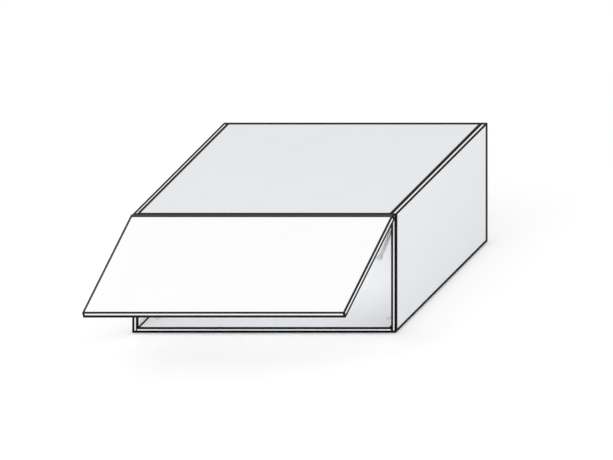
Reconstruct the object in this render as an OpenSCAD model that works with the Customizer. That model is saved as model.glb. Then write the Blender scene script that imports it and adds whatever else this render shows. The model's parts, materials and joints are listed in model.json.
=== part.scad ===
// Lift-up wall cabinet, flat-pack construction.
// Millimetres. The wall is the plane y = 0, the underside is z = 0 and the
// cabinet faces -Y, with x = 0 at the middle of its width.

/* [Carcass] */
// Outside width
cabinet_w = 800; // [600:10:1000]
// Outside height
cabinet_h = 360; // [330:5:480]
// Depth from the wall to the front edges of the boards
cabinet_d = 600; // [420:10:650]
// Thickness of the carcass boards
board_t = 16; // [15:0.5:19]
// Thickness of the edge banding
band_t = 2; // [2:0.1:3]
// Chamfer along the edge banding's arrises
arris = 1.8; // [0.5:0.1:1.9]
// Thickness of the back panel
back_t = 3; // [2.5:0.5:5]
// Distance from the wall to the back panel
back_inset = 16; // [14:1:24]
// Depth of the groove that holds the back panel
groove_depth = 8; // [5:0.5:9]

/* [Flap] */
// Thickness of the flap
flap_t = 22; // [16:0.5:22]
// How far the flap stops short of the carcass's outline on each side
flap_reveal = 2; // [1:0.5:4]
// Gap between the closed flap and the carcass
flap_gap = 4; // [4:0.5:6]
// How far the flap stands open
rest_angle = 65; // [0:1:100]
// Furthest opening angle
open_angle = 100; // [80:1:100]

/* [Hinges] */
// Distance from each side of the cabinet to the hinge's middle
hinge_inset = 120; // [110:5:160]
// Diameter of the cup let into the flap
cup_d = 35; // [35:1:36]
// Depth of the cup
cup_depth = 12; // [12:0.5:13]
// Distance from the flap's top edge to the cup's rim
cup_edge = 3; // [3:0.5:4]
// Width of the goose-neck arm
arm_w = 11; // [9:0.5:12]
// Length of the mounting plate under the top panel
hinge_plate_len = 60; // [54:1:90]

/* [Flap stays] */
// Distance from the carcass's front to the lever's shaft
stay_setback = 83; // [78:1:100]
// Distance from the cabinet's top to the lever's shaft
stay_drop = 58; // [54:1:70]
// Distance from the hinge axis down to the stay's pivot on the flap
stay_reach = 115; // [105:1:130]
// Length of the spring housing behind the lever's shaft
housing_len = 176; // [168:1:220]
// Thickness of the spring housing, measured from the side panel
housing_w = 22; // [22:0.5:26]
// Diameter of the spring's wire
wire_d = 2.5; // [1.8:0.1:3]
// Turns of each spring
spring_turns = 14; // [8:1:16]

/* [Wall hanging] */
// Distance from each end of the wall rail to its screw hole
rail_hole_inset = 81; // [30:1:120]
// Diameter of the screw holes in the wall rail
rail_hole_d = 7; // [5:0.5:9]
// Distance from the cabinet's top down to the wall rail's lip
rail_drop = 42; // [40:1:60]
// Adjustment of the hangers up and down from the middle setting
hanger_travel = 5; // [2:0.5:6]

/* [Hidden] */
$fn = 48;

SIDES = [-1, 1];
melamine = [0.90, 0.905, 0.915];
white = [0.97, 0.97, 0.97];
hardboard = [0.93, 0.93, 0.92];
steel = [0.72, 0.73, 0.75];
coated_steel = [0.88, 0.885, 0.89];
zinc = [0.62, 0.63, 0.65];
grey_plastic = [0.80, 0.81, 0.82];
beech = [0.82, 0.68, 0.48];

// Clearances
slack = 0.1;       // between pieces that are fitted and stay put
run_slack = 0.05;  // between a shaft and its bore
gap = 0.3;         // between pieces that pass each other
play = 0.2;        // along a shaft or pin, beside what turns on it
blade_gap = 0.4;   // between the lever, the link and the bracket
through = 1;       // how far a cut runs past the face it opens

// Carcass
inner_w = cabinet_w - 2 * board_t;
front_y = -cabinet_d;
ceiling_z = cabinet_h - board_t;
core_front_y = front_y + band_t;
core_back_y = -band_t;
joint_levels = [board_t / 2, cabinet_h - board_t / 2];

// Knock-down fittings that join the boards
cam_d = 15;
cam_reach = 34;      // from the side panel's inner face to the cam's middle
cam_end = 64;        // from the wall or the front to the cam
dowel_pitch = 32;    // from a cam to its dowel
dowel_d = 8;
cam_web = 0.5;       // left in the cam beyond the bolt's bore
cam_h = board_t / 2 + dowel_d / 2 + cam_web;
cam_slot = [6, 1.2, 3];
dowel_in_side = 11;
dowel_in_end = 24;
bolt_d = 5;
bolt_in_side = 10.5;
bolt_neck_d = 7;
bolt_neck_t = 2;
bolt_shank_d = 4;
bolt_head_d = 6.6;
bolt_head_t = 2.4;
cam_cap_d = 17;
cam_cap_t = 1.2;
cam_ys = [-cam_end, front_y + cam_end];
dowel_ys = [-cam_end - dowel_pitch, front_y / 2, front_y + cam_end + dowel_pitch];

// Flap and its hinge axis
flap_w = cabinet_w - 2 * flap_reveal;
flap_back_y = front_y - flap_gap;
flap_top_z = cabinet_h - flap_reveal;
pivot_in_cup = 12;                                   // from the cup's middle up to the pin
pivot_depth = 8.2;                                   // from the flap's back face to the pin
pivot_edge = cup_edge + cup_d / 2 - pivot_in_cup;    // from the flap's top edge to the pin
axis_y = flap_back_y - pivot_depth;
axis_z = flap_top_z - pivot_edge;
cup_z = axis_z - pivot_in_cup;
hinge_x = cabinet_w / 2 - hinge_inset;
bumper_d = 8;
bumper_t = flap_gap - gap;

// Hinge
cup_wall = 0.7;
cup_flange = [62, 22, 1];     // across, up and down, thick
cup_screw_span = 48;
pin_d = 3;
pin_len = 21;
boss_gap = 0.4;
boss_r = 3.5;
eye_wall = 1.1;
eye_d = pin_d + 2 * eye_wall;
neck_t = 3.6;
arm_t = 2.6;
arm_drop = 11.2;              // from the pin down to the arm's upper face
arm_top_z = axis_z - arm_drop;
arm_back = 4;                 // the plate reaches this much further back than the arm
arm_inside = hinge_plate_len - arm_back;
hinge_plate_w = 32;
hinge_plate_t = ceiling_z - arm_top_z;
hinge_screw_end = 14;         // from the plate's ends to its screws
hinge_screw_ys = [front_y + hinge_screw_end, front_y + hinge_plate_len - hinge_screw_end];
hinge_screw_x = 11.5;
clamp_screw_y = front_y + hinge_plate_len / 2;

// Screws: [shank diameter, length, head diameter, head height]
plate_screw = [4, 14, 7, 2];
cup_screw = [3.5, 13, 6.5, 1.6];
housing_screw = [5, 13, 9, 2];
bracket_screw = [4, 14, 7.5, 2];
fixing_screw = [4, 14, 7, 2];
clamp_screw = [5, arm_t + hinge_plate_t - 0.5, 8, 1.6];

// Flap stay: a parallelogram of flap, link, lever and carcass
stay_offset = 12;                                     // stay pivot behind the flap's back face
shaft_y = front_y + stay_setback;
shaft_z = cabinet_h - stay_drop;
pivot_arm = [pivot_depth + stay_offset, -stay_reach]; // hinge axis to the pivot on the flap
floor_t = 2;
cover_t = 2;
pocket_w = housing_w - floor_t - cover_t;
housing_up = 23;
housing_down = 33;
housing_nose = 33;
housing_wall = 2;
shaft_d = 10;
shaft_head_d = 13;
shaft_head_t = 1.5;
square_w = 8;
cam_t = 7;
cam_u = floor_t + (pocket_w - cam_t) / 2;
roller_r = 5;
roller_pin_d = 3;
cam_far = 33;        // shaft to the roller's middle, flap closed
cam_rate = 0.18;     // roller travel for each degree that the flap opens
cam_overrun = 8;     // degrees of profile past each end of the travel
hub_r = 9.6;
lever_u = housing_w + 1;
lever_t = 4;
lever_eye_d = 20;
lever_w = 15;
link_u = lever_u + lever_t + blade_gap;
link_t = 3;
link_eye_d = 14;
link_w = 11;
elbow_pin_d = 6;
rivet_head_d = 10;
rivet_head_t = 1.4;
bracket_u = link_u + link_t + blade_gap;
bracket_t = 3;
bracket_foot_w = 26;
bracket_foot_h = 46;
bracket_screw_half = 15;
bracket_ear_r = 9;
slider_half = 11;
slider_len = 24;
slider_lead = 4;     // how far the fork reaches past the roller's middle
fork_slot_w = cam_t + 1;
spring_d = 17;
spring_ring = 8;     // rings in a turn
spring_side = 6;     // corners of the wire's section
rib_t = 2;
rib_h = 4;
rib_start = 8;       // from the shaft's middle to the guide ribs
lip_t = 1.2;         // locating lip on the housing's cover
lip_h = 2;
adjuster_disc = 3;
adjuster_d = 8;
adjuster_out = 2;    // how far the adjuster stands out of the housing
stop_clear = 2;
stop_y = shaft_y + housing_len - housing_wall - adjuster_disc - stop_clear;
rest_roller_y = shaft_y + cam_far - cam_rate * rest_angle;
spring_from = rest_roller_y - slider_lead + slider_len + gap + wire_d / 2;
spring_to = stop_y - gap - wire_d / 2;
housing_corner = 6;
housing_screw_in = 8;    // from the housing's outline to its screws
housing_screw_mid = 60;  // from the shaft to the middle screw
housing_screw_end = 12;
housing_screw_spots = [
    [shaft_y - housing_nose + housing_screw_in, shaft_z + housing_up - housing_screw_in],
    [shaft_y + housing_screw_mid, shaft_z - housing_down + housing_screw_in],
    [shaft_y + housing_len - housing_screw_end, shaft_z - housing_down + housing_screw_in]
];

// Wall hanging
rail_t = 2;
rail_step = 6;        // how far the lip stands off the rail's flat
rail_flat_h = 20;
rail_lip_h = 14;
rail_end_gap = 3;
lip_z = cabinet_h - rail_drop;
hook_t = 3;
hook_h = 14;
hook_tooth_h = 7;
hook_tooth_t = 3;
hook_u = 9;           // side panel's inner face to the hook's middle
hook_len = 66;
hanger_w = 20;
hanger_len = 62;
hanger_wall = 3;
hanger_back_y = -back_inset - back_t - gap;
hanger_front_y = hanger_back_y - hanger_len;
hanger_top_z = ceiling_z - gap;
hanger_foot = 13;     // how far the hanger reaches below the hook's lowest lip
hanger_low_z = lip_z - hanger_travel - hanger_foot;
hanger_screw_in = 5;
hanger_screw_drops = [8, 22];
peg_d = 10;
peg_len = 11;
peg_in = 12;          // from the hanger's ends and foot to its pegs
peg_up = 10;
peg_spots = [for (y = [hanger_back_y - peg_in, hanger_front_y + peg_in]) [y, hanger_low_z + peg_up]];
fixing_up = 6;
fixing_wall = 2;
fixing_spot = [hanger_back_y - hanger_len / 2, hanger_low_z + fixing_up];
fixing_seat = fixing_screw[3] + fixing_wall;    // side panel's inner face to the screw's head
adjust_d = 6;
adjust_head_d = 8;
adjust_head_t = 2;
adjust_len = 13;
adjust_slot = [5, 1.1, 3];

// ---------- helpers ----------

// A block between two corners
module block(low, high) {
    translate(low) cube(high - low);
}

// A rectangle with chamfered corners
module chamfered(low, high) {
    polygon([[low[0] + arris, low[1]], [high[0] - arris, low[1]], [high[0], low[1] + arris],
             [high[0], high[1] - arris], [high[0] - arris, high[1]], [low[0] + arris, high[1]],
             [low[0], high[1] - arris], [low[0], low[1] + arris]]);
}

// A block with all its arrises chamfered
module arris_block(low, high) {
    size = high - low;
    intersection() {
        translate([0, 0, low[2]]) linear_extrude(size[2]) chamfered([low[0], low[1]], [high[0], high[1]]);
        yz_plate(low[0], size[0]) chamfered([low[1], low[2]], [high[1], high[2]]);
        translate([0, high[1], 0]) rotate([90, 0, 0])
            linear_extrude(size[1]) chamfered([low[0], low[2]], [high[0], high[2]]);
    }
}

// A plate drawn in (y, z) and thickened along x from u
module yz_plate(u, t) {
    translate([u, 0, 0]) rotate([90, 0, 90]) linear_extrude(t) children();
}

// A rod along x at (y, z), from u over a length
module rod(u, len, d, at) {
    translate([u, at[0], at[1]]) rotate([0, 90, 0]) cylinder(h = len, d = d);
}

// Local x is then the distance inwards from that side panel's inner face
module at_side(side) {
    if (side > 0) translate([inner_w / 2, 0, 0]) mirror([1, 0, 0]) children();
    else translate([-inner_w / 2, 0, 0]) children();
}

// Turns a point or a piece of the closed flap about the hinge axis
function swung(p, angle) = [p[0] * cos(angle) + p[1] * sin(angle), p[1] * cos(angle) - p[0] * sin(angle)];

module swing_about(at, angle) {
    translate([0, at[0], at[1]]) rotate([-angle, 0, 0]) translate([0, -at[0], -at[1]]) children();
}

module on_flap() {
    swing_about([axis_y, axis_z], rest_angle) children();
}

module on_lever() {
    swing_about([shaft_y, shaft_z], rest_angle) children();
}

// Places a link that keeps its direction while the elbow swings
module on_elbow() {
    shift = swung(pivot_arm, rest_angle) - pivot_arm;
    translate([0, shift[0], shift[1]]) children();
}

// Screw with its head's face at z = 0 and its tip at z = length
module screw(s) {
    slot_w = s[2] * 0.14;
    difference() {
        union() {
            cylinder(h = s[3], d1 = s[2], d2 = s[0]);
            cylinder(h = s[1], d = s[0]);
        }
        for (a = [0, 90])
            rotate(a) translate([-s[2] * 0.3, -slot_w / 2, -through])
                cube([s[2] * 0.6, slot_w, through + s[3] * 0.6]);
    }
}

// The hole that such a screw fills, open past its head
module screw_hole(s) {
    translate([0, 0, -slack]) cylinder(h = s[3] + slack, d1 = s[2] + 3 * slack, d2 = s[0] + 2 * slack);
    translate([0, 0, -through]) cylinder(h = through, d = s[2] + 3 * slack);
    cylinder(h = s[1] + slack, d = s[0] + 2 * slack);
}

// Screws through the housing floor into the side panel, in side coordinates
module each_housing_screw() {
    for (p = housing_screw_spots) translate([floor_t, p[0], p[1]]) rotate([0, -90, 0]) children();
}

module each_hinge_plate_screw(side) {
    for (y = hinge_screw_ys) for (dx = [-hinge_screw_x, hinge_screw_x])
        translate([side * hinge_x + dx, y, ceiling_z - hinge_plate_t]) children();
}

module each_cup_screw(side) {
    for (dx = [-cup_screw_span / 2, cup_screw_span / 2])
        translate([side * hinge_x + dx, flap_back_y + cup_flange[2], cup_z]) rotate([90, 0, 0]) children();
}

bracket_foot_u = bracket_u + bracket_t;
bracket_z = axis_z - stay_reach;

module each_bracket_screw(side) {
    at_side(side) for (dz = [-bracket_screw_half, bracket_screw_half])
        translate([bracket_foot_u + bracket_foot_w / 2, flap_back_y + bracket_t, bracket_z + dz])
            rotate([90, 0, 0]) children();
}

module each_fixing_screw() {
    translate([fixing_seat, fixing_spot[0], fixing_spot[1]]) rotate([0, -90, 0]) children();
}

// ---------- carcass ----------

// A hole along x into the side panel's inner face, for a pin of the given depth and diameter
module side_hole(depth, d, at) {
    rod(-depth - slack, depth + slack + through, d + 2 * slack, at);
}

module joint_holes_in_side() {
    for (z = joint_levels) {
        for (y = cam_ys) side_hole(bolt_in_side, bolt_d, [y, z]);
        for (y = dowel_ys) side_hole(dowel_in_side, dowel_d, [y, z]);
    }
}

module back_groove(low_x, high_x, low_z, high_z) {
    block([low_x, -back_inset - back_t - slack, low_z], [high_x, -back_inset + slack, high_z]);
}

module side_panel(side) {
    color(melamine) at_side(side) difference() {
        block([-board_t, core_front_y, band_t], [0, core_back_y, cabinet_h - band_t]);
        back_groove(-groove_depth, through, 0, cabinet_h);
        joint_holes_in_side();
        each_housing_screw() screw_hole(housing_screw);
        for (p = peg_spots) side_hole(peg_len, peg_d, p);
        each_fixing_screw() screw_hole(fixing_screw);
    }
}

// One strip runs right round the board
module side_edge_bands(side) {
    color(white) at_side(side) difference() {
        arris_block([-board_t, front_y, 0], [0, 0, cabinet_h]);
        block([-board_t - through, core_front_y, band_t], [through, core_back_y, cabinet_h - band_t]);
    }
}

// Cuts in one end of the top or bottom panel. The cams open on the face at z = face.
module end_fittings(side, level, face) {
    at_side(side) {
        for (y = cam_ys) {
            rod(-through, cam_reach + through, dowel_d, [y, level]);
            cam_bore(y, face);
        }
        for (y = dowel_ys) rod(-through, dowel_in_end + slack + through, dowel_d + 2 * slack, [y, level]);
    }
}

module cam_bore(y, face) {
    up = face > cabinet_h / 2 ? 1 : -1;
    translate([cam_reach, y, face - up * through])
        mirror([0, 0, up > 0 ? 0 : 1]) cylinder(h = cam_h + 2 * slack + through, d = cam_d + 2 * slack);
}

module horizontal_panel(low_z, level, face) {
    difference() {
        block([-inner_w / 2, core_front_y, low_z], [inner_w / 2, core_back_y, low_z + board_t]);
        for (side = SIDES) end_fittings(side, level, face);
        if (face > cabinet_h / 2) {
            back_groove(-inner_w, inner_w, face - through, face + groove_depth);
            for (side = SIDES) each_hinge_plate_screw(side) screw_hole(plate_screw);
        } else {
            back_groove(-inner_w, inner_w, face - groove_depth, face + through);
        }
    }
}

module top_panel() {
    color(melamine) horizontal_panel(ceiling_z, joint_levels[1], ceiling_z);
}

module bottom_panel() {
    color(melamine) horizontal_panel(0, joint_levels[0], board_t);
}

// A strip on the front edge and one on the rear edge, which is left square where asked
module horizontal_edge_bands(low_z, square_rear) {
    high_z = low_z + board_t;
    core_run = core_back_y - core_front_y;
    color(white) yz_plate(-inner_w / 2, inner_w) {
        difference() {
            chamfered([front_y, low_z], [0, high_z]);
            translate([core_front_y, low_z - through]) square([core_run, board_t + 2 * through]);
        }
        if (square_rear) translate([core_back_y, low_z]) square([band_t, board_t]);
    }
}

module back_panel() {
    reach = groove_depth - 0.5;
    color(hardboard) difference() {
        block([-inner_w / 2 - reach, -back_inset - back_t, board_t - reach],
              [inner_w / 2 + reach, -back_inset, ceiling_z + reach]);
        for (side = SIDES) at_side(side) hook_window();
    }
}

// The opening in the back panel that each hanger's hook passes
module hook_window() {
    margin = 3;
    half_w = hook_t / 2 + margin;
    low_z = lip_z - hook_tooth_h - hanger_travel - margin;
    high_z = lip_z + hook_h + hanger_travel + margin;
    block([hook_u - half_w, -back_inset - back_t - through, low_z],
          [hook_u + half_w, -back_inset + through, high_z]);
}

// ---------- joints between the boards ----------

module each_joint_end() {
    for (side = SIDES) for (i = [0, 1]) at_side(side) {
        $face_up = i == 1;
        $level = joint_levels[i];
        $face = i == 1 ? ceiling_z : board_t;
        children();
    }
}

module dowels() {
    end_gap = 0.5;
    color(beech) each_joint_end() for (y = dowel_ys)
        rod(-dowel_in_side + end_gap, dowel_in_side + dowel_in_end - 2 * end_gap, dowel_d, [y, $level]);
}

module cam_bolts() {
    color(steel) each_joint_end() for (y = cam_ys) {
        rod(-bolt_in_side, bolt_in_side, bolt_d, [y, $level]);
        rod(0, bolt_neck_t, bolt_neck_d, [y, $level]);
        rod(bolt_neck_t, cam_reach - bolt_head_t - bolt_neck_t, bolt_shank_d, [y, $level]);
        rod(cam_reach - bolt_head_t, bolt_head_t, bolt_head_d, [y, $level]);
    }
}

module cam_locks() {
    color(zinc) each_joint_end() for (y = cam_ys) difference() {
        translate([cam_reach, y, $face]) mirror([0, 0, $face_up ? 0 : 1]) cylinder(h = cam_h, d = cam_d);
        // room for the bolt and its head, as the turned cam leaves it
        rod(cam_reach - cam_d, cam_d + 1, dowel_d, [y, $level]);
        translate([cam_reach, y, $face]) for (a = [0, 90]) rotate(a) cube(cam_slot, center = true);
    }
}

module cam_caps() {
    color(grey_plastic) each_joint_end() for (y = cam_ys)
        translate([cam_reach, y, $face]) mirror([0, 0, $face_up ? 1 : 0])
            cylinder(h = cam_cap_t, d = cam_cap_d);
}

// ---------- flap ----------

module flap_panel() {
    color(white) on_flap() difference() {
        block([-flap_w / 2 + band_t, flap_back_y - flap_t, flap_reveal + band_t],
              [flap_w / 2 - band_t, flap_back_y, flap_top_z - band_t]);
        for (side = SIDES) {
            translate([side * hinge_x, 0, 0]) cup_disc(through, cup_depth + slack, cup_d + 2 * slack);
            each_cup_screw(side) screw_hole(cup_screw);
            each_bracket_screw(side) screw_hole(bracket_screw);
        }
    }
}

module flap_edge_bands() {
    front = flap_back_y - flap_t;
    inner = flap_w / 2 - band_t;
    color(white) on_flap() difference() {
        arris_block([-flap_w / 2, front, flap_reveal], [flap_w / 2, flap_back_y, flap_top_z]);
        block([-inner, front - through, flap_reveal + band_t],
              [inner, flap_back_y + through, flap_top_z - band_t]);
    }
}

module flap_bumpers() {
    color(grey_plastic) on_flap() for (side = SIDES)
        translate([side * (cabinet_w / 2 - board_t / 2), flap_back_y, flap_reveal + 2 * bumper_d])
            rotate([-90, 0, 0]) cylinder(h = bumper_t, d = bumper_d);
}

// ---------- hinges ----------

module hinge_boss_blocks() {
    reach = cup_d / 2;
    for (side = SIDES) translate([side * (arm_w / 2 + boss_gap + reach), 0, 0])
        block([-reach, axis_y - cup_depth, axis_z - boss_r], [reach, axis_y + boss_r, axis_z + cup_d]);
}

// A disc sunk into the flap around the cup's middle, from some way out of the back face to a depth
module cup_disc(out, depth, d) {
    translate([0, flap_back_y + out, cup_z]) rotate([90, 0, 0]) cylinder(h = out + depth, d = d, $fn = 96);
}

module hinge_cup(side) {
    color(steel) on_flap() translate([side * hinge_x, 0, 0]) difference() {
        union() {
            difference() {
                union() {
                    cup_disc(0, cup_depth, cup_d);
                    block([-cup_flange[0] / 2, flap_back_y, cup_z - cup_flange[1] / 2],
                          [cup_flange[0] / 2, flap_back_y + cup_flange[2], cup_z + cup_flange[1] / 2]);
                }
                cup_disc(2 * through, cup_depth - cup_wall, cup_d - 2 * cup_wall);
            }
            // bosses that carry the pin
            intersection() {
                cup_disc(0, cup_depth, cup_d - cup_wall);
                hinge_boss_blocks();
            }
        }
        rod(-pin_len / 2 - slack, pin_len + 2 * slack, pin_d + 2 * slack, [axis_y, axis_z]);
        translate([-side * hinge_x, 0, 0]) each_cup_screw(side) screw_hole(cup_screw);
    }
}

module hinge_pins() {
    color(steel) on_flap() for (side = SIDES)
        translate([side * hinge_x, 0, 0]) rod(-pin_len / 2, pin_len, pin_d, [axis_y, axis_z]);
}

// Goose-neck arm: an eye on the pin, a neck down past the flap's edge, and a blade under the top panel
module hinge_arm(side) {
    blade_end = front_y + arm_inside;
    color(steel) translate([side * hinge_x - arm_w / 2, 0, 0]) difference() {
        union() {
            rod(0, arm_w, eye_d, [axis_y, axis_z]);
            block([0, axis_y - neck_t / 2, arm_top_z - arm_t], [arm_w, axis_y + neck_t / 2, axis_z]);
            block([0, axis_y - neck_t / 2, arm_top_z - arm_t], [arm_w, blade_end, arm_top_z]);
        }
        rod(-through, arm_w + 2 * through, pin_d + 2 * run_slack, [axis_y, axis_z]);
        translate([arm_w / 2, clamp_screw_y, arm_top_z - arm_t]) screw_hole(clamp_screw);
    }
}

module hinge_plate(side) {
    half_w = hinge_plate_w / 2;
    color(zinc) difference() {
        translate([side * hinge_x, 0, 0])
            block([-half_w, front_y + 2, arm_top_z], [half_w, front_y + hinge_plate_len, ceiling_z]);
        each_hinge_plate_screw(side) screw_hole(plate_screw);
        translate([side * hinge_x, clamp_screw_y, arm_top_z - arm_t]) screw_hole(clamp_screw);
    }
}

module hinge_plate_screws() {
    color(steel) for (side = SIDES) each_hinge_plate_screw(side) screw(plate_screw);
}

module hinge_clamp_screws() {
    color(steel) for (side = SIDES)
        translate([side * hinge_x, clamp_screw_y, arm_top_z - arm_t]) screw(clamp_screw);
}

module hinge_cup_screws() {
    color(steel) on_flap() for (side = SIDES) each_cup_screw(side) screw(cup_screw);
}

// ---------- flap stays ----------

module housing_outline(inset) {
    corner = housing_corner - inset;
    low = [shaft_y - housing_nose + inset, shaft_z - housing_down + inset];
    high = [shaft_y + housing_len - inset, shaft_z + housing_up - inset];
    for (at = [[low[0] + corner, low[1] + corner], [high[0] - corner, low[1] + corner],
               [low[0] + corner, high[1] - corner], [high[0] - corner, high[1] - corner]])
        translate(at) circle(r = corner);
    translate([low[0] + corner, low[1]]) square([high[0] - low[0] - 2 * corner, high[1] - low[1]]);
    translate([low[0], low[1] + corner]) square([high[0] - low[0], high[1] - low[1] - 2 * corner]);
}

module stay_housing(side) {
    color(grey_plastic) at_side(side) difference() {
        union() {
            difference() {
                yz_plate(0, housing_w - cover_t) housing_outline(0);
                yz_plate(floor_t, housing_w) housing_outline(housing_wall);
            }
            // guide ribs beside the slider
            for (z = [shaft_z + slider_half + gap, shaft_z - slider_half - gap - rib_t])
                block([floor_t, shaft_y + rib_start, z], [floor_t + rib_h, stop_y, z + rib_t]);
        }
        rod(-through, floor_t + 2 * through, shaft_d + 2 * run_slack, [shaft_y, shaft_z]);
        each_housing_screw() screw_hole(housing_screw);
        translate([housing_w / 2, shaft_y + housing_len + through, shaft_z]) rotate([90, 0, 0])
            cylinder(h = housing_wall + 2 * through, d = adjuster_d + 2 * slack);
    }
}

module stay_cover(side) {
    color(grey_plastic) at_side(side) difference() {
        union() {
            yz_plate(housing_w - cover_t, cover_t) housing_outline(0);
            yz_plate(housing_w - cover_t - lip_h, lip_h) difference() {
                housing_outline(housing_wall + slack);
                housing_outline(housing_wall + slack + lip_t);
            }
        }
        rod(housing_w - cover_t - through, cover_t + 2 * through, shaft_d + 2 * run_slack,
            [shaft_y, shaft_z]);
    }
}

module square_bar(u, len, w) {
    translate([u, shaft_y - w / 2, shaft_z - w / 2]) cube([len, w, w]);
}

// Round where it turns in the housing and the cover, square where it drives
module stay_shaft(side) {
    color(steel) at_side(side) on_lever() {
        cam_end_u = cam_u + cam_t;
        at = [shaft_y, shaft_z];
        rod(play, cam_u - 2 * play, shaft_d, at);
        square_bar(cam_u - 2 * play, cam_t + 4 * play, square_w);
        rod(cam_end_u + play, lever_u - cam_end_u - 2 * play, shaft_d, at);
        square_bar(lever_u - 2 * play, lever_t + 2 * play, square_w);
        rod(lever_u + lever_t, shaft_head_t, shaft_head_d, at);
    }
}

// The roller's path round the shaft, and the cam's surface inside it, drawn for the closed flap
function path_r(a) = cam_far - cam_rate * a;
function path_point(a) = path_r(a) * [cos(a), sin(a)];
function path_normal(a) =
    let (slope = -cam_rate * 180 / PI,
         d = [slope * cos(a) - path_r(a) * sin(a), slope * sin(a) + path_r(a) * cos(a)])
    [d[1], -d[0]] / norm(d);
function cam_point(a) = path_point(a) - (roller_r + slack) * path_normal(a);

module cam_outline() {
    step = 4;
    first = -cam_overrun;
    last = open_angle + cam_overrun;
    translate([shaft_y, shaft_z]) {
        polygon([[0, 0], for (a = [first : step : last]) cam_point(a)]);
        circle(r = hub_r);
    }
}

module stay_cam(side) {
    color(steel) at_side(side) on_lever() difference() {
        yz_plate(cam_u, cam_t) cam_outline();
        square_bar(cam_u - through, cam_t + 2 * through, square_w + slack);
    }
}

// A flat bar between two round eyes
module bar_outline(a, b, eye_d, bar_w) {
    turn = atan2(b[1] - a[1], b[0] - a[0]);
    for (p = [a, b]) translate(p) circle(d = eye_d);
    translate(a) rotate(turn) translate([0, -bar_w / 2]) square([norm(b - a), bar_w]);
}

elbow = [shaft_y, shaft_z] + pivot_arm;
flap_pivot = [axis_y, axis_z] + pivot_arm;

module stay_lever(side) {
    color(coated_steel) at_side(side) on_lever() difference() {
        yz_plate(lever_u, lever_t) bar_outline([shaft_y, shaft_z], elbow, lever_eye_d, lever_w);
        square_bar(lever_u - through, lever_t + 2 * through, square_w + slack);
        rod(lever_u - through, lever_t + 2 * through, elbow_pin_d + 2 * run_slack, elbow);
    }
}

module stay_link(side) {
    color(coated_steel) at_side(side) on_elbow() difference() {
        yz_plate(link_u, link_t) bar_outline(elbow, flap_pivot, link_eye_d, link_w);
        for (p = [elbow, flap_pivot])
            rod(link_u - through, link_t + 2 * through, elbow_pin_d + 2 * run_slack, p);
    }
}

module stay_elbow_pin(side) {
    color(zinc) at_side(side) on_elbow() {
        low_u = lever_u - play;
        high_u = link_u + link_t + play;
        rod(low_u - rivet_head_t, rivet_head_t, rivet_head_d, elbow);
        rod(low_u, high_u - low_u, elbow_pin_d, elbow);
        rod(high_u, rivet_head_t, rivet_head_d, elbow);
    }
}

module stay_slider(side) {
    front = rest_roller_y - slider_lead;
    slot_u = housing_w / 2 - fork_slot_w / 2;
    color(zinc) at_side(side) difference() {
        block([floor_t + gap, front, shaft_z - slider_half],
              [housing_w - cover_t - gap, front + slider_len, shaft_z + slider_half]);
        // the fork's slot, for the roller and the cam
        block([slot_u, front - through, shaft_z - slider_half - through],
              [slot_u + fork_slot_w, rest_roller_y + roller_r + 1, shaft_z + slider_half + through]);
        rod(floor_t, housing_w, roller_pin_d + 2 * slack, [rest_roller_y, shaft_z]);
    }
}

module stay_roller(side) {
    roller_at = [rest_roller_y, shaft_z];
    color(steel) at_side(side) {
        difference() {
            rod(cam_u, cam_t, 2 * roller_r, roller_at);
            rod(cam_u - through, cam_t + 2 * through, roller_pin_d + 2 * run_slack, roller_at);
        }
        rod(floor_t + gap + play, pocket_w - 2 * gap - 2 * play, roller_pin_d, roller_at);
    }
}

// A tube along a helix about the y axis
function helix_point(t, r, pitch) = [r * cos(360 * t), pitch * t, r * sin(360 * t)];
function helix_ring(t, r, pitch, w) =
    let (out = [cos(360 * t), 0, sin(360 * t)],
         run = [-2 * PI * r * sin(360 * t), pitch, 2 * PI * r * cos(360 * t)],
         along = run / norm(run),
         up = cross(along, out))
    [for (k = [0 : spring_side - 1])
        let (a = 360 * k / spring_side)
        helix_point(t, r, pitch) + w / 2 * (cos(a) * out + sin(a) * up)];

module helix_tube(turns, r, pitch, w) {
    rings = turns * spring_ring;
    n = spring_side;
    points = [for (i = [0 : rings]) each helix_ring(i / spring_ring, r, pitch, w)];
    walls = [for (i = [0 : rings - 1]) for (k = [0 : n - 1])
        let (a = i * n + k, b = i * n + (k + 1) % n)
        each [[a, b, b + n], [a, b + n, a + n]]];
    caps = [for (k = [1 : n - 2]) each [[0, k + 1, k], [rings * n, rings * n + k, rings * n + k + 1]]];
    polyhedron(points, concat(walls, caps));
}

module stay_spring(side) {
    pitch = (spring_to - spring_from) / spring_turns;
    color(steel) at_side(side) translate([housing_w / 2, spring_from, shaft_z])
        helix_tube(spring_turns, (spring_d - wire_d) / 2, pitch, wire_d);
}

module stay_adjusters() {
    key_d = 4;
    end_y = shaft_y + housing_len + adjuster_out;
    color(zinc) for (side = SIDES) at_side(side) difference() {
        union() {
            translate([housing_w / 2, stop_y + adjuster_disc, shaft_z]) rotate([90, 0, 0])
                cylinder(h = adjuster_disc, d = spring_d);
            translate([housing_w / 2, end_y, shaft_z]) rotate([90, 0, 0])
                cylinder(h = end_y - stop_y - adjuster_disc, d = adjuster_d);
        }
        translate([housing_w / 2, end_y + through, shaft_z]) rotate([90, 0, 0])
            cylinder(h = key_d + through, d = key_d, $fn = 6);
    }
}

module stay_housing_screws() {
    color(steel) for (side = SIDES) at_side(side) each_housing_screw() screw(housing_screw);
}

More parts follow.
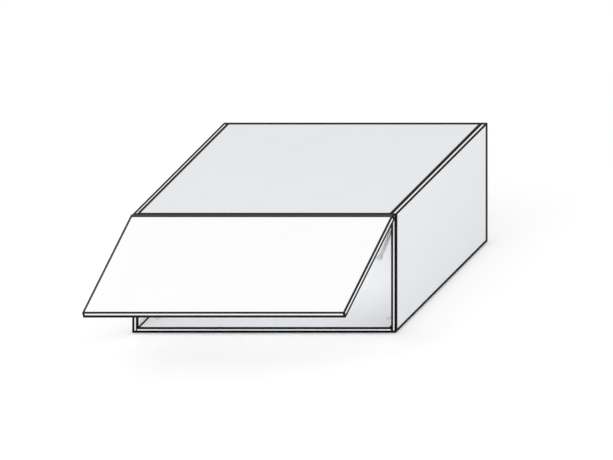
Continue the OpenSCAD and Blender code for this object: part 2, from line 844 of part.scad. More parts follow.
// Angle bracket on the flap: a foot screwed to the flap and an ear that carries the pin
module stay_bracket(side) {
    color(coated_steel) on_flap() difference() {
        at_side(side) {
            block([bracket_u, flap_back_y, bracket_z - bracket_foot_h / 2],
                  [bracket_foot_u + bracket_foot_w, flap_back_y + bracket_t, bracket_z + bracket_foot_h / 2]);
            yz_plate(bracket_u, bracket_t) {
                translate(flap_pivot) circle(r = bracket_ear_r);
                translate([flap_back_y, bracket_z - bracket_ear_r]) square([stay_offset, 2 * bracket_ear_r]);
            }
        }
        at_side(side) rod(bracket_u - through, bracket_t + 2 * through, elbow_pin_d + 2 * slack, flap_pivot);
        each_bracket_screw(side) screw_hole(bracket_screw);
    }
}

module stay_bracket_pins() {
    color(zinc) on_flap() for (side = SIDES) at_side(side) {
        low_u = link_u - play;
        rod(low_u - rivet_head_t, rivet_head_t, rivet_head_d, flap_pivot);
        rod(low_u, bracket_u + bracket_t - low_u, elbow_pin_d, flap_pivot);
    }
}

module stay_bracket_screws() {
    color(steel) on_flap() for (side = SIDES) each_bracket_screw(side) screw(bracket_screw);
}

// ---------- wall hanging ----------

module hanger_housing(side) {
    slot_w = hook_t + 2 * gap;
    slot_low = lip_z - hanger_travel - gap;
    slot_high = lip_z + hook_h + hanger_travel + gap;
    color(grey_plastic) at_side(side) difference() {
        union() {
            block([0, hanger_front_y, hanger_low_z], [hanger_w, hanger_back_y, hanger_top_z]);
            for (p = peg_spots) rod(-peg_len, peg_len + slack, peg_d, p);
        }
        block([hook_u - slot_w / 2, hanger_front_y + hanger_wall, slot_low],
              [hook_u + slot_w / 2, hanger_back_y + through, slot_high]);
        each_hanger_screw() {
            cylinder(h = adjust_len + slack, d = adjust_d + 2 * slack);
            translate([0, 0, -through])
                cylinder(h = through + adjust_head_t + slack, d = adjust_head_d + 2 * slack);
        }
        each_fixing_screw() {
            screw_hole(fixing_screw);
            translate([0, 0, -hanger_w]) cylinder(h = hanger_w, d = fixing_screw[2] + 3 * slack);
        }
    }
}

// Height and depth screws, side by side in the hanger's front face
module each_hanger_screw() {
    for (drop = hanger_screw_drops)
        translate([hanger_w - hanger_screw_in, hanger_front_y, hanger_top_z - drop]) rotate([-90, 0, 0])
            children();
}

module hanger_screws() {
    color(steel) for (side = SIDES) at_side(side) each_hanger_screw() difference() {
        union() {
            cylinder(h = adjust_head_t, d = adjust_head_d);
            cylinder(h = adjust_len, d = adjust_d);
        }
        for (a = [0, 90]) rotate(a) cube(adjust_slot, center = true);
    }
}

module hanger_fixing_screws() {
    color(steel) for (side = SIDES) at_side(side) each_fixing_screw() screw(fixing_screw);
}

// Steel plate on edge, whose tooth drops behind the rail's lip
module hanger_hook(side) {
    tooth_y = -rail_t - hook_tooth_t - gap;
    color(steel) at_side(side) yz_plate(hook_u - hook_t / 2, hook_t) {
        translate([-hook_len, lip_z + slack]) square([hook_len + tooth_y + hook_tooth_t, hook_h]);
        translate([tooth_y, lip_z - hook_tooth_h]) square([hook_tooth_t, hook_tooth_h + hook_h / 2]);
    }
}

module wall_rail() {
    lip_y = -rail_t - rail_step;
    flat_top = lip_z - rail_lip_h;
    length = inner_w - 2 * rail_end_gap;
    hole_z = flat_top - rail_flat_h / 2;
    color(steel) difference() {
        translate([-length / 2, 0, 0]) yz_plate(0, length) {
            translate([-rail_t, flat_top - rail_flat_h]) square([rail_t, rail_flat_h]);
            translate([lip_y, flat_top - rail_t]) square([-lip_y, rail_t]);
            translate([lip_y, flat_top - rail_t]) square([rail_t, rail_lip_h + rail_t]);
        }
        for (side = SIDES)
            translate([side * (length / 2 - rail_hole_inset), through, hole_z]) rotate([90, 0, 0])
                cylinder(h = rail_t + 2 * through, d = rail_hole_d);
    }
}

// ---------- nodes ----------

side_panel(-1);  // left_side_panel
side_panel(1);  // right_side_panel
top_panel();
bottom_panel();
back_panel();
side_edge_bands(-1);  // left_side_edge_bands
side_edge_bands(1);  // right_side_edge_bands
horizontal_edge_bands(ceiling_z, false);  // top_edge_bands
horizontal_edge_bands(0, true);  // bottom_edge_bands
dowels();
cam_bolts();
cam_locks();
cam_caps();
flap_panel();
flap_edge_bands();
flap_bumpers();
hinge_cup(-1);  // hinge_cup_left
hinge_cup(1);  // hinge_cup_right
hinge_arm(-1);  // hinge_arm_left
hinge_arm(1);  // hinge_arm_right
hinge_plate(-1);  // hinge_plate_left
hinge_plate(1);  // hinge_plate_right
hinge_pins();
hinge_plate_screws();
hinge_clamp_screws();
hinge_cup_screws();
stay_housing(-1);  // stay_housing_left
stay_housing(1);  // stay_housing_right
stay_cover(-1);  // stay_cover_left
stay_cover(1);  // stay_cover_right
stay_shaft(-1);  // stay_shaft_left
stay_shaft(1);  // stay_shaft_right
stay_cam(-1);  // stay_cam_left
stay_cam(1);  // stay_cam_right
stay_lever(-1);  // stay_lever_left
stay_lever(1);  // stay_lever_right
stay_link(-1);  // stay_link_left
stay_link(1);  // stay_link_right
stay_elbow_pin(-1);  // stay_elbow_pin_left
stay_elbow_pin(1);  // stay_elbow_pin_right
stay_slider(-1);  // stay_slider_left
stay_slider(1);  // stay_slider_right
stay_roller(-1);  // stay_roller_left
stay_roller(1);  // stay_roller_right
stay_spring(-1);  // stay_spring_left
stay_spring(1);  // stay_spring_right
stay_adjusters();
stay_housing_screws();
stay_bracket(-1);  // stay_bracket_left
stay_bracket(1);  // stay_bracket_right
stay_bracket_pins();
stay_bracket_screws();
hanger_housing(-1);  // hanger_housing_left
hanger_housing(1);  // hanger_housing_right
hanger_screws();
hanger_fixing_screws();
hanger_hook(-1);  // hanger_hook_left
hanger_hook(1);  // hanger_hook_right
wall_rail();
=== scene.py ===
"""Looks of the lift-up wall cabinet: materials, floor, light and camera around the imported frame."""

import json
import math

import bpy
from mathutils import Matrix, Vector


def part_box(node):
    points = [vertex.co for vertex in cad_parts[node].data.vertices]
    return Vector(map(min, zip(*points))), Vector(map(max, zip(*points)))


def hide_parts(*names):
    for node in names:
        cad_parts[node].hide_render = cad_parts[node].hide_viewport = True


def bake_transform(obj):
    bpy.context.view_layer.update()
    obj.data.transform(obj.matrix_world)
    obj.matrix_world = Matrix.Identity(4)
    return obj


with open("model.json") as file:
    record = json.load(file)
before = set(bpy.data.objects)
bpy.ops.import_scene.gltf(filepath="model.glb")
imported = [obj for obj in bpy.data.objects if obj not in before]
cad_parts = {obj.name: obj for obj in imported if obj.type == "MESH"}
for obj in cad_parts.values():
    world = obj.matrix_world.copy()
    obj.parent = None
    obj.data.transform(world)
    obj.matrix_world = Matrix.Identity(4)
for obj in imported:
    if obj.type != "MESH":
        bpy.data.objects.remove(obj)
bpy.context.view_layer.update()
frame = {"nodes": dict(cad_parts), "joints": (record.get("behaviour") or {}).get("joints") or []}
nodes = frame["nodes"]
joints = {joint["name"]: joint for joint in frame["joints"]}

# The flap lies open at rest. This turn about its hinge brings a point of it back to the closed flap's place.
REST_OPEN = -math.radians(joints["flap_hinge"]["range_deg"][0])
HINGE_LINE = tuple(joints["flap_hinge"]["pos_m"])
SIDES = ("left", "right")

# Widths in mm of the dark lines along each board's edges: (low, high) along X, Y and Z of the board.
# A side board has one set for its two faces, one for its front and rear edges, and one for its upper and
# lower edges.
SIDE_FACE_LINES = ((5.0, 5.0), (9.0, 15.0), (10.5, 4.5))
SIDE_EDGE_LINES = {
    "left": ((7.5, 4.0), (6.0, 15.0), (7.5, 4.5)),
    "right": ((7.0, 5.0), (6.0, 15.0), (7.5, 4.5)),
}
SIDE_TOP_LINES = {
    "left": ((9.5, 3.0), (6.0, 15.0), (6.0, 6.0)),
    "right": ((5.5, 5.0), (6.0, 15.0), (6.0, 6.0)),
}
TOP_LINES = ((6.5, 7.0), (9.0, 15.0), (4.5, 4.5))
BOTTOM_LINES = ((7.0, 7.0), (5.0, 11.0), (7.5, 4.5))
# The flap's line along its upper edge (Z high) is wider than the others: partly its outline, partly painted
# shadow of the hinge gap above the flap.
FLAP_LINES_AND_GAP_SHADOW = ((8.0, 6.0), (3.5, 12.0), (4.5, 12.0))
NO_END_LINE = (0.1, 0.1)       # for the ends of strips, which meet the side panels
MM = 0.001


# ---------- colours, as sRGB values turned into what the shaders take ----------


def linear(red, green, blue):
    """Scene-linear colour of an sRGB colour given in 0..255."""

    def channel(value):
        value /= 255
        return value / 12.92 if value <= 0.04045 else ((value + 0.055) / 1.055) ** 2.4

    return (channel(red), channel(green), channel(blue), 1.0)


BOARD_GREY = linear(230, 231, 233)
INNER_WHITE = linear(248, 248, 248)
FLAP_WHITE = linear(246, 246, 246)
BAND_WHITE = linear(245, 245, 245)
LINE_DARK = linear(9, 9, 10)
COAT_GREY = linear(226, 227, 229)
CHIP_LIGHT = linear(206, 182, 142)
CHIP_DARK = linear(150, 118, 80)
FIBRE_BROWN = linear(168, 136, 98)
PLASTIC_GREY = linear(208, 210, 212)
BUMPER_CLEAR = linear(222, 225, 228)
BEECH_LIGHT = linear(222, 188, 142)
BEECH_DARK = linear(186, 146, 100)
NICKEL = linear(206, 205, 201)
ZINC_PLATE = linear(196, 200, 206)
ZINC_CAST = linear(168, 171, 176)
SPRING_STEEL = linear(112, 115, 120)

# Specular level of the boards and their edging, low so that the dark lines stay dark at a low angle
BOARD_GLOSS = 0.06


# ---------- node tree helpers ----------

# Sockets of the Mix node's colour form, which shares its socket names with its other forms
MIX_FACTOR, MIX_FIRST, MIX_SECOND, MIX_RESULT = 0, 6, 7, 2

# The least part of its normal along an axis with which a surface counts as facing along it
FACING = 0.75


class Shader:
    """One material's tree, with short calls for the nodes that repeat."""

    def __init__(self, name, roughness, metallic=0.0):
        self.material = bpy.data.materials.new(name)
        self.material.use_nodes = True
        self.tree = self.material.node_tree
        self.surface = self.tree.nodes["Principled BSDF"]
        self.surface.inputs["Roughness"].default_value = roughness
        self.surface.inputs["Metallic"].default_value = metallic

    def add(self, kind, settings=None, **inputs):
        """A node of this kind. Each input is a value, or another node's output to link."""
        made = self.tree.nodes.new("ShaderNode" + kind)
        for key, value in (settings or {}).items():
            setattr(made, key, value)
        for key, value in inputs.items():
            self.plug(made.inputs[key], value)
        return made

    def plug(self, socket, value):
        if isinstance(value, bpy.types.NodeSocket):
            self.tree.links.new(value, socket)
        else:
            socket.default_value = value

    def place(self):
        """Position on the piece, in metres, as it lies at rest."""
        return self.add("TexCoord").outputs["Object"]

    def normal(self):
        return self.add("TexCoord").outputs["Normal"]

    def closed_place(self):
        """Where a point of the flap lies when the flap is closed."""
        return self.add("VectorRotate", {"rotation_type": "X_AXIS"}, Vector=self.place(), Center=HINGE_LINE,
                        Angle=REST_OPEN).outputs["Vector"]

    def closed_normal(self):
        return self.add("VectorRotate", {"rotation_type": "X_AXIS"}, Vector=self.normal(),
                        Angle=REST_OPEN).outputs["Vector"]

    def stretched(self, scale):
        """The place, stretched by a factor along each axis."""
        made = self.add("Mapping", {"vector_type": "POINT"}, Vector=self.place(), Scale=scale)
        return made.outputs["Vector"]

    def noise(self, scale, detail=2.0, roughness=0.5, where=None):
        """Noise with about this many cells to the metre."""
        vector = where or self.place()
        made = self.add("TexNoise", Vector=vector, Scale=scale, Detail=detail, Roughness=roughness)
        return made.outputs["Fac"]

    def spread(self, value, low, high, start=0.35, end=0.65):
        """A value between start and end spread over low to high."""
        made = self.add("MapRange", {"clamp": True}, **{"Value": value, "From Min": start, "From Max": end,
                                                        "To Min": low, "To Max": high})
        return made.outputs["Result"]

    def mix(self, factor, first, second, blend="MIX"):
        """The first colour where the factor is 0, and the second, or their blend, where it is 1."""
        made = self.add("Mix", {"data_type": "RGBA", "blend_type": blend})
        self.plug(made.inputs[MIX_FACTOR], factor)
        self.plug(made.inputs[MIX_FIRST], first)
        self.plug(made.inputs[MIX_SECOND], second)
        return made.outputs[MIX_RESULT]

    def shade(self, colour, factor):
        """A colour made lighter or darker by a factor."""
        grey = self.add("CombineColor", Red=factor, Green=factor, Blue=factor).outputs["Color"]
        return self.mix(1.0, colour, grey, "MULTIPLY")

    def math(self, operation, first, second=0.0):
        made = self.add("Math", {"operation": operation})
        self.plug(made.inputs[0], first)
        self.plug(made.inputs[1], second)
        return made.outputs["Value"]

    def bump(self, height, depth):
        """Relief of this depth in metres."""
        return self.add("Bump", Height=height, Strength=1.0, Distance=depth).outputs["Normal"]

    def finish(self, colour=None, roughness=None, relief=None):
        """The material, with those of these that are given led to its shader."""
        for name, value in (("Base Color", colour), ("Roughness", roughness), ("Normal", relief)):
            if value is not None:
                self.plug(self.surface.inputs[name], value)
        return self.material


def board_box(*names, turn=0.0, about=(0.0, 0.0, 0.0)):
    """Lowest and highest corners of these nodes together, first turned about a line along X."""
    back = Matrix.Translation(about) @ Matrix.Rotation(turn, 4, "X") @ Matrix.Translation(about).inverted()
    points = [back @ vertex.co for name in names for vertex in nodes[name].data.vertices]
    return [[pick(point[axis] for point in points) for axis in range(3)] for pick in (min, max)]


def edge_line(shader, place, box, widths):
    """1 on the dark lines along a board's edges, 0 elsewhere.

    widths are the lines' widths in mm, low and high, along X, Y and Z of the board."""
    parts = shader.add("SeparateXYZ", Vector=place)
    ways = []
    for axis in range(3):
        from_low = shader.math("SUBTRACT", parts.outputs[axis], box[0][axis])
        from_high = shader.math("SUBTRACT", box[1][axis], parts.outputs[axis])
        low, high = (width * MM for width in widths[axis])
        ways.append(shader.math("MINIMUM", shader.math("DIVIDE", from_low, low),
                                shader.math("DIVIDE", from_high, high)))
    # The least way of the three is the one square to the face, so the middle one leads to an edge.
    near = shader.math("MINIMUM", ways[0], ways[1])
    far = shader.math("MAXIMUM", ways[0], ways[1])
    return shader.math("LESS_THAN", shader.math("MAXIMUM", near, shader.math("MINIMUM", far, ways[2])), 1.0)


def across(shader, normal, axis):
    """1 where the surface faces along this axis of the piece, 0 on its edges and bores."""
    size = shader.math("ABSOLUTE", shader.add("SeparateXYZ", Vector=normal).outputs[axis])
    return shader.math("GREATER_THAN", size, FACING)


def line_ink(shader):
    """The dark lines' colour, slightly rubbed. Along the flap's upper edge the line is partly painted shadow
    of the hinge gap.
    """
    wear = shader.noise(60.0, detail=4.0, roughness=0.65)
    return shader.shade(LINE_DARK, shader.spread(wear, 0.8, 1.4))


# ---------- materials ----------


def chipboard(shader):
    """Raw pressed chips, seen where a board is cut."""
    chips = shader.add("TexVoronoi", {"feature": "F1"}, Vector=shader.place(), Scale=420.0, Randomness=1.0)
    tone = shader.spread(chips.outputs["Distance"], 0.0, 1.0, 0.1, 0.7)
    return shader.mix(tone, CHIP_LIGHT, CHIP_DARK)


def fibre_core(shader):
    """Dense brown fibreboard."""
    fleck = shader.noise(2400.0, detail=4.0, roughness=0.7)
    return shader.shade(FIBRE_BROWN, shader.spread(fleck, 0.82, 1.05))


def melamine(name, axis, core, box=None, widths=None, inner=None):
    """Decor foil with a fine pearl grain on the board's two faces, and its core on every cut.

    Where an inner colour is given, it is on the face towards the middle of the cabinet."""
    shader = Shader(name, roughness=0.45)
    shader.surface.inputs["Specular IOR Level"].default_value = BOARD_GLOSS
    pearl = shader.noise(1500.0, detail=3.0, roughness=0.6)
    cloud = shader.noise(9.0, detail=2.0)
    tone = shader.math("MULTIPLY", shader.spread(pearl, 0.982, 1.0), shader.spread(cloud, 0.988, 1.0))
    foil = BOARD_GREY
    if inner:
        normal = shader.add("SeparateXYZ", Vector=shader.normal())
        place = shader.add("SeparateXYZ", Vector=shader.place())
        away = shader.math("MULTIPLY", normal.outputs[axis], place.outputs[axis])
        foil = shader.mix(shader.math("GREATER_THAN", away, 0.0), inner, BOARD_GREY)
    surface = shader.mix(across(shader, shader.normal(), axis), core(shader), shader.shade(foil, tone))
    if widths:
        surface = shader.mix(edge_line(shader, shader.place(), box, widths), surface, line_ink(shader))
    roughness = shader.math("ADD", shader.spread(pearl, 0.38, 0.5), shader.spread(cloud, 0.0, 0.05))
    return shader.finish(surface, roughness, shader.bump(pearl, 0.00003))


def lacquer(name, box):
    """Sprayed satin lacquer with a faint orange peel, on the flap's own axes."""
    shader = Shader(name, roughness=0.32)
    peel = shader.noise(420.0, detail=2.0, roughness=0.4)
    cloud = shader.noise(6.0, detail=3.0)
    tone = shader.math("MULTIPLY", shader.spread(peel, 0.992, 1.0), shader.spread(cloud, 0.99, 1.0))
    face = across(shader, shader.closed_normal(), "Y")
    surface = shader.mix(face, fibre_core(shader), shader.shade(FLAP_WHITE, tone))
    # The wide dark band along the flap's upper edge is partly painted shadow of the hinge gap.
    surface = shader.mix(edge_line(shader, shader.closed_place(), box, FLAP_LINES_AND_GAP_SHADOW), surface, line_ink(shader))
    shader.surface.inputs["Coat Weight"].default_value = 0.25
    shader.surface.inputs["Coat Roughness"].default_value = 0.25
    return shader.finish(surface, shader.spread(cloud, 0.28, 0.38), shader.bump(peel, 0.00002))


def edging(name, box, widths, place=Shader.place, top_widths=None):
    """Plastic edge banding with a fine extruded grain and a dark line along every edge.

    Its faces that look up or down have their own line widths where those are given."""
    shader = Shader(name, roughness=0.4)
    shader.surface.inputs["Specular IOR Level"].default_value = BOARD_GLOSS
    grain = shader.noise(900.0, detail=3.0)
    white = shader.shade(BAND_WHITE, shader.spread(grain, 0.975, 1.0))
    line = edge_line(shader, place(shader), box, widths)
    if top_widths:
        level = across(shader, shader.normal(), "Z")
        line = shader.math("MAXIMUM", shader.math("MULTIPLY", line, shader.math("SUBTRACT", 1.0, level)),
                           shader.math("MULTIPLY", edge_line(shader, place(shader), box, top_widths), level))
    surface = shader.mix(line, white, line_ink(shader))
    wear = shader.noise(35.0, detail=4.0, roughness=0.65)
    return shader.finish(surface, shader.spread(wear, 0.34, 0.48), shader.bump(grain, 0.00002))


def plastic(name, colour):
    """Moulded plastic with a spark-eroded grain."""
    shader = Shader(name, roughness=0.5)
    grain = shader.add("TexVoronoi", {"feature": "SMOOTH_F1"}, Vector=shader.place(), Scale=1800.0,
                       Smoothness=0.6)
    flow = shader.noise(24.0, detail=2.0)
    surface = shader.shade(colour, shader.spread(flow, 0.975, 1.0))
    roughness = shader.spread(grain.outputs["Distance"], 0.42, 0.58, 0.1, 0.7)
    return shader.finish(surface, roughness, shader.bump(grain.outputs["Distance"], 0.00002))


def metal(name, colour, roughness, grain_scale, grain_depth, streak=(1.0, 1.0, 1.0)):
    """Plated, cast or drawn metal. The streak stretches its grain along an axis."""
    shader = Shader(name, roughness=roughness, metallic=1.0)
    grain = shader.noise(grain_scale, detail=4.0, roughness=0.6, where=shader.stretched(streak))
    stain = shader.noise(60.0, detail=3.0)
    tone = shader.math("MULTIPLY", shader.spread(grain, 0.96, 1.0), shader.spread(stain, 0.95, 1.0))
    surface = shader.shade(colour, tone)
    varied = shader.math("ADD", shader.spread(grain, roughness - 0.04, roughness + 0.04),
                         shader.spread(stain, 0.0, 0.05))
    return shader.finish(surface, varied, shader.bump(grain, grain_depth))


def powder_coat(name, colour):
    """Baked powder coat with a fine orange peel."""
    shader = Shader(name, roughness=0.42)
    peel = shader.noise(1300.0, detail=2.0, roughness=0.45)
    cloud = shader.noise(30.0, detail=2.0)
    surface = shader.shade(colour, shader.spread(cloud, 0.975, 1.0))
    return shader.finish(surface, shader.spread(peel, 0.4, 0.48), shader.bump(peel, 0.000006))


def beech(name):
    """Fluted beech, its grain along the dowel."""
    shader = Shader(name, roughness=0.6)
    grain = shader.noise(700.0, detail=4.0, roughness=0.6, where=shader.stretched((0.08, 1.0, 1.0)))
    surface = shader.mix(shader.spread(grain, 0.0, 1.0), BEECH_LIGHT, BEECH_DARK)
    return shader.finish(surface, relief=shader.bump(grain, 0.0001))


def soft_bumper(name):
    """Soft plastic that lets some light through."""
    shader = Shader(name, roughness=0.3)
    cloud = shader.noise(300.0, detail=2.0)
    shader.surface.inputs["Transmission Weight"].default_value = 0.35
    surface = shader.shade(BUMPER_CLEAR, shader.spread(cloud, 0.95, 1.0))
    return shader.finish(surface, shader.spread(cloud, 0.25, 0.4))


def side_box(side):
    return board_box(side + "_side_panel", side + "_side_edge_bands")


flap_box = board_box("flap_panel", "flap_edge_bands", turn=REST_OPEN, about=HINGE_LINE)
top_box = board_box("top_panel", "top_edge_bands")
bottom_box = board_box("bottom_panel", "bottom_edge_bands")

side_board = {side: melamine(side + "_side_board", "X", chipboard, side_box(side), SIDE_FACE_LINES,
                             INNER_WHITE) for side in SIDES}
top_board = melamine("top_board", "Z", chipboard, top_box, TOP_LINES)
bottom_board = melamine("bottom_board", "Z", chipboard, bottom_box, BOTTOM_LINES)
back_board = melamine("back_hardboard", "Y", fibre_core)
flap_board = lacquer("flap_lacquer", flap_box)
side_edging = {side: edging(side + "_edge_banding", side_box(side), SIDE_EDGE_LINES[side],
                            top_widths=SIDE_TOP_LINES[side]) for side in SIDES}
top_edging = edging("top_edge_banding", top_box, (NO_END_LINE,) + TOP_LINES[1:])
bottom_edging = edging("bottom_edge_banding", bottom_box, (NO_END_LINE,) + BOTTOM_LINES[1:])
# The wide dark band along the flap banding's upper edge is partly painted shadow of the hinge gap.
flap_edging = edging("flap_edge_banding", flap_box, FLAP_LINES_AND_GAP_SHADOW, Shader.closed_place)
grey_plastic = plastic("moulded_grey_plastic", PLASTIC_GREY)
nickel_steel = metal("nickel_plated_steel", NICKEL, 0.3, 1600.0, 0.000002, (1.0, 0.15, 1.0))
zinc_steel = metal("zinc_plated_steel", ZINC_PLATE, 0.36, 700.0, 0.000003)
cast_zinc = metal("die_cast_zinc", ZINC_CAST, 0.46, 1500.0, 0.00001)
coated_steel = powder_coat("powder_coated_steel", COAT_GREY)
spring_steel = metal("oiled_spring_steel", SPRING_STEEL, 0.3, 1800.0, 0.000003)
beech_wood = beech("fluted_beech")
clear_bumper = soft_bumper("clear_bumper")


def on_sides(*stems):
    return [stem + "_" + side for stem in stems for side in SIDES]


NODES_BY_MATERIAL = (
    (side_board["left"], ["left_side_panel"]),
    (side_board["right"], ["right_side_panel"]),
    (top_board, ["top_panel"]),
    (bottom_board, ["bottom_panel"]),
    (back_board, ["back_panel"]),
    (flap_board, ["flap_panel"]),
    (side_edging["left"], ["left_side_edge_bands"]),
    (side_edging["right"], ["right_side_edge_bands"]),
    (top_edging, ["top_edge_bands"]),
    (bottom_edging, ["bottom_edge_bands"]),
    (flap_edging, ["flap_edge_bands"]),
    (grey_plastic, ["cam_caps"] + on_sides("stay_housing", "stay_cover", "hanger_housing")),
    (nickel_steel, ["hinge_pins", "stay_bracket_pins"]
     + on_sides("hinge_cup", "hinge_arm", "hinge_plate", "stay_elbow_pin", "stay_roller")),
    (zinc_steel, ["cam_bolts", "wall_rail", "hinge_plate_screws", "hinge_clamp_screws", "hinge_cup_screws",
                  "stay_housing_screws", "stay_bracket_screws", "hanger_screws", "hanger_fixing_screws"]
     + on_sides("stay_shaft", "stay_cam", "hanger_hook")),
    (coated_steel, on_sides("stay_lever", "stay_link", "stay_bracket")),
    (cast_zinc, ["cam_locks", "stay_adjusters"] + on_sides("stay_slider")),
    (spring_steel, on_sides("stay_spring")),
    (beech_wood, ["dowels"]),
    (clear_bumper, ["flap_bumpers"]),
)


def dress():
    """Gives each node its one material."""
    for material, names in NODES_BY_MATERIAL:
        for name in names:
            slots = nodes[name].data.materials
            slots.clear()
            slots.append(material)


# Width in metres of the rounding on the edges of pressed, moulded and cast pieces
ROUNDING = (
    (0.0006, on_sides("stay_housing", "stay_cover", "hanger_housing") + ["cam_caps", "flap_bumpers"]),
    (0.0004, on_sides("hinge_arm", "hinge_plate", "stay_lever", "stay_link", "stay_bracket", "stay_slider",
                      "hanger_hook")),
    (0.0003, on_sides("hinge_cup", "stay_elbow_pin") + ["wall_rail", "stay_bracket_pins"]),
)
ROUNDING_STEPS = 2
SHARP_FROM = math.radians(35)


def soften_edges():
    for width, names in ROUNDING:
        for name in names:
            bevel = nodes[name].modifiers.new("rounding", "BEVEL")
            bevel.width = width
            bevel.segments = ROUNDING_STEPS
            bevel.limit_method = "ANGLE"
            bevel.angle_limit = SHARP_FROM
            bevel.use_clamp_overlap = True


# ---------- the stays' springs, which shorten between the slider and the housing ----------

WIRE_R = 0.00125
TURNS = 14
DEAD_PITCH = 2.08 * WIRE_R     # the first and last turns lie closed on themselves
STEPS_PER_TURN = 36
WIRE_SIDES = 12
SLOPE_STEP = 0.01              # how far to each side, in turns, the wire's slope is taken


def coil_height(turn, length):
    """How far along the spring its wire is after so many turns."""
    active_pitch = (length - 2 * DEAD_PITCH) / (TURNS - 2)
    first = min(turn, 1.0) * DEAD_PITCH
    last = max(turn - (TURNS - 1), 0.0) * DEAD_PITCH
    return first + min(max(turn - 1.0, 0.0), TURNS - 2) * active_pitch + last


def wire_ring(turn, radius, length):
    """One ring of the wire's surface, about the spring's axis along Y."""
    angle = 2 * math.pi * turn
    out = Vector((math.cos(angle), 0.0, math.sin(angle)))
    climb = coil_height(turn + SLOPE_STEP, length) - coil_height(turn - SLOPE_STEP, length)
    rise = climb / (2 * SLOPE_STEP)
    along = Vector((-2 * math.pi * radius * out.z, rise, 2 * math.pi * radius * out.x)).normalized()
    up = along.cross(out)
    middle = radius * out + Vector((0.0, coil_height(turn, length), 0.0))
    for side in range(WIRE_SIDES):
        around = 2 * math.pi * side / WIRE_SIDES
        yield middle + WIRE_R * (math.cos(around) * out + math.sin(around) * up)


def make_spring(side):
    """A round-wire compression spring in place of the CAD spring."""
    node = "stay_spring_" + side
    low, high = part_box(node)
    radius = (high.z - low.z) / 2 - WIRE_R
    length = high.y - low.y - 2 * WIRE_R
    start = Vector(((low.x + high.x) / 2, low.y + WIRE_R, (low.z + high.z) / 2))
    ring_count = TURNS * STEPS_PER_TURN + 1
    points = [start + point for ring in range(ring_count)
              for point in wire_ring(ring / STEPS_PER_TURN, radius, length)]
    faces = []
    for ring in range(ring_count - 1):
        first = ring * WIRE_SIDES
        for corner in range(WIRE_SIDES):
            following = (corner + 1) % WIRE_SIDES
            faces.append((first + corner, first + following, first + WIRE_SIDES + following,
                          first + WIRE_SIDES + corner))
    faces.append(tuple(range(WIRE_SIDES - 1, -1, -1)))
    faces.append(tuple(len(points) - WIRE_SIDES + corner for corner in range(WIRE_SIDES)))
    mesh = bpy.data.meshes.new("coil_spring_" + side)
    mesh.from_pydata(points, [], faces)
    mesh.polygons.foreach_set("use_smooth", [True] * (len(faces) - 2) + [False] * 2)
    mesh.materials.append(spring_steel)
    spring = bpy.data.objects.new("coil_spring_" + side, mesh)
    bpy.context.scene.collection.objects.link(spring)
    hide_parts(node)
    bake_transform(spring)


# ---------- floor, light and camera ----------

FLOOR_REACH = 14.0
FLOOR_DROP = 0.0005            # keeps the floor clear of the underside
FLOOR_WHITE = linear(250, 250, 250)
FLOOR_GLOW = 0.1               # light added to the floor as the camera and reflections see it
DOME_LEVEL = 0.92              # how strongly the white world lights the cabinet
PURE_WHITE = (1.0, 1.0, 1.0, 1.0)

# The lamps outside: name, place, width and height, and watts. All are aimed at one point in the cabinet.
LAMPS = (
    ("key", (-1.6, -2.6, 2.4), (2.4, 2.4), 16.0),
    ("fill", (2.6, -1.4, 1.2), (2.2, 2.2), 9.0),
)
LAMP_TARGET = (0.0, -0.45, 0.2)
INSIDE_LAMP_DROP = 0.012       # how far the lamp inside hangs below the top panel
INSIDE_LAMP_SIZE = (0.7, 0.46)
INSIDE_LAMP_WATTS = 1.25


def light_path_factor(tree, outputs):
    """1 for a ray of any of these kinds."""
    path = tree.nodes.new("ShaderNodeLightPath")
    total = path.outputs[outputs[0]]
    for name in outputs[1:]:
        most = tree.nodes.new("ShaderNodeMath")
        most.operation = "MAXIMUM"
        tree.links.new(total, most.inputs[0])
        tree.links.new(path.outputs[name], most.inputs[1])
        total = most.outputs[0]
    return total


def make_floor():
    """A wide pale sheet under the cabinet, a shade brighter to the camera, to meet the white world."""
    mesh = bpy.data.meshes.new("floor")
    quarters = ((-1, -1), (1, -1), (1, 1), (-1, 1))
    corners = [(x * FLOOR_REACH, y * FLOOR_REACH, -FLOOR_DROP) for x, y in quarters]
    mesh.from_pydata(corners, [], [(0, 1, 2, 3)])
    floor = bpy.data.objects.new("floor", mesh)
    bpy.context.scene.collection.objects.link(floor)
    shader = Shader("floor_paper", roughness=0.9)
    fleck = shader.noise(40.0, detail=3.0)
    shader.finish(shader.shade(FLOOR_WHITE, shader.spread(fleck, 0.996, 1.0)))
    shader.surface.inputs["Specular IOR Level"].default_value = 0.0
    seen = light_path_factor(shader.tree, ["Is Camera Ray", "Is Glossy Ray"])
    glow = shader.math("MULTIPLY", seen, FLOOR_GLOW)
    shader.surface.inputs["Emission Color"].default_value = PURE_WHITE
    shader.plug(shader.surface.inputs["Emission Strength"], glow)
    mesh.materials.append(shader.material)


def make_world():
    """A white world, a little dimmer as a light than it is seen."""
    world = bpy.data.worlds.new("studio")
    world.use_nodes = True
    tree = world.node_tree
    background = tree.nodes["Background"]
    background.inputs["Color"].default_value = PURE_WHITE
    seen = light_path_factor(tree, ["Is Camera Ray", "Is Glossy Ray", "Is Transmission Ray"])
    level = tree.nodes.new("ShaderNodeMapRange")
    level.inputs["To Min"].default_value = DOME_LEVEL
    level.inputs["To Max"].default_value = 1.0
    tree.links.new(seen, level.inputs["Value"])
    tree.links.new(level.outputs["Result"], background.inputs["Strength"])
    bpy.context.scene.world = world


def soft_lamp(name, spot, target, size, watts):
    """A rectangular area lamp at a spot, aimed at a target, and not seen itself."""
    lamp = bpy.data.lights.new(name, "AREA")
    lamp.shape = "RECTANGLE"
    lamp.size, lamp.size_y = size
    lamp.energy = watts
    holder = bpy.data.objects.new(name, lamp)
    bpy.context.scene.collection.objects.link(holder)
    holder.location = spot
    holder.rotation_euler = (Vector(spot) - Vector(target)).to_track_quat("Z", "Y").to_euler()
    holder.visible_camera = False
    holder.visible_glossy = False


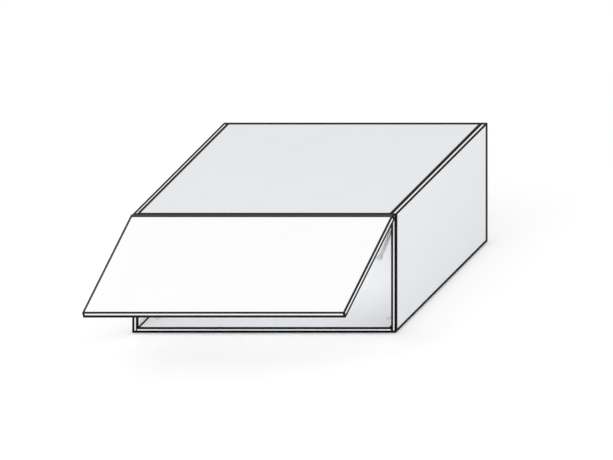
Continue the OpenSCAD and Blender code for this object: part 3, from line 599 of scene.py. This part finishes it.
def make_lamps():
    """Two soft lamps in front, and one inside that makes the interior as light as the outside."""
    for name, spot, size, watts in LAMPS:
        soft_lamp(name, spot, LAMP_TARGET, size, watts)
    panel_low, panel_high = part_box("top_panel")
    middle_y = (panel_low.y + panel_high.y) / 2
    spot = (0.0, middle_y, panel_low.z - INSIDE_LAMP_DROP)
    soft_lamp("inside", spot, (0.0, middle_y, 0.0), INSIDE_LAMP_SIZE, INSIDE_LAMP_WATTS)


# An oblique view: width and height lie at one scale in the front plane, and depth recedes up and to the
# right at 45 degrees, at a part of that scale along each axis of the picture.
IMAGE_PX = (613, 460)
PX_PER_M = 330.2
RECEDE = 0.4635
FRONT_PX = (264.0, 333.0)      # where the middle of the carcass's lower front edge shows
CAMERA_BACK = 3.0              # how far the camera stands in front of the carcass, in metres
CAMERA_SEES = 60.0             # how far it sees, in metres


def make_camera():
    """An orthographic camera whose line of sight is sheared, which gives the oblique view."""
    lens = bpy.data.cameras.new("camera")
    lens.type = "ORTHO"
    lens.ortho_scale = IMAGE_PX[0] / PX_PER_M
    lens.clip_end = CAMERA_SEES
    camera = bpy.data.objects.new("camera", lens)
    holder = bpy.data.objects.new("camera_shear", None)
    for made in (camera, holder):
        bpy.context.scene.collection.objects.link(made)
    front_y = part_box("bottom_edge_bands")[0].y
    middle_x = (IMAGE_PX[0] / 2 - FRONT_PX[0]) / PX_PER_M
    middle_z = (FRONT_PX[1] - IMAGE_PX[1] / 2) / PX_PER_M
    camera.parent = holder
    camera.matrix_parent_inverse = Matrix((
        (1.0, 0.0, RECEDE, middle_x + RECEDE * CAMERA_BACK),
        (0.0, 0.0, -1.0, front_y - CAMERA_BACK),
        (0.0, 1.0, RECEDE, middle_z + RECEDE * CAMERA_BACK),
        (0.0, 0.0, 0.0, 1.0),
    ))
    bpy.context.scene.camera = camera


dress()
soften_edges()
for spring_side in SIDES:
    make_spring(spring_side)
make_floor()
make_world()
make_lamps()
make_camera()
bpy.context.scene.view_settings.view_transform = "Standard"
